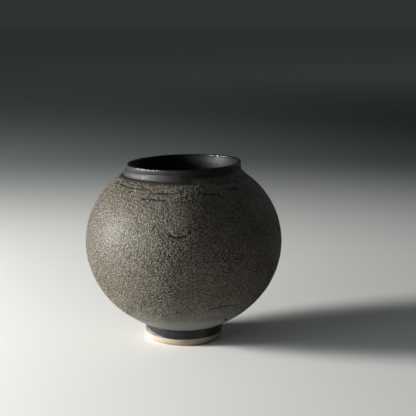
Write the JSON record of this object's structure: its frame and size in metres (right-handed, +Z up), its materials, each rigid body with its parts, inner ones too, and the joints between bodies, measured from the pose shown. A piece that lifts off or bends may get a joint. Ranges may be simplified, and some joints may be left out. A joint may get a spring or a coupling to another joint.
{
  "type": "globular ceramic jar",
  "caption": "Round-bellied stoneware jar with a short black glazed collar, a gritty grey slip coat and a small bare-clay foot ring.",
  "frame": {"origin": "centre of the foot, on the surface that the jar stands on", "axes": "+Z up along the throwing axis; the collar leans a little towards +X and its lip is highest on that side"},
  "size_m": [0.19, 0.19, 0.1753],
  "materials": {
    "clay_body": "unglazed fired clay, matt",
    "bare_clay": "unglazed cream clay, matt, with an orange flashing line under the glaze",
    "joint_slip": "fired slip, matt",
    "lower_coat": "dry gritty slip, matt",
    "upper_coat": "dry gritty slip, matt",
    "collar_glaze": "black satin glaze",
    "liner_glaze": "black gloss glaze",
    "foot_glaze": "black satin glaze, brushed"
  },
  "bodies": {
    "root": {"lower_bowl": "clay_body", "upper_bowl": "clay_body", "neck_collar": "clay_body", "foot_ring": "bare_clay", "belly_joint_slip": "joint_slip", "neck_joint_slip": "joint_slip", "foot_joint_slip": "joint_slip", "lower_grit_coat": "lower_coat", "upper_grit_coat": "upper_coat", "collar_glaze": "collar_glaze", "liner_glaze": "liner_glaze", "foot_glaze": "foot_glaze"}
  },
  "joints": []
}
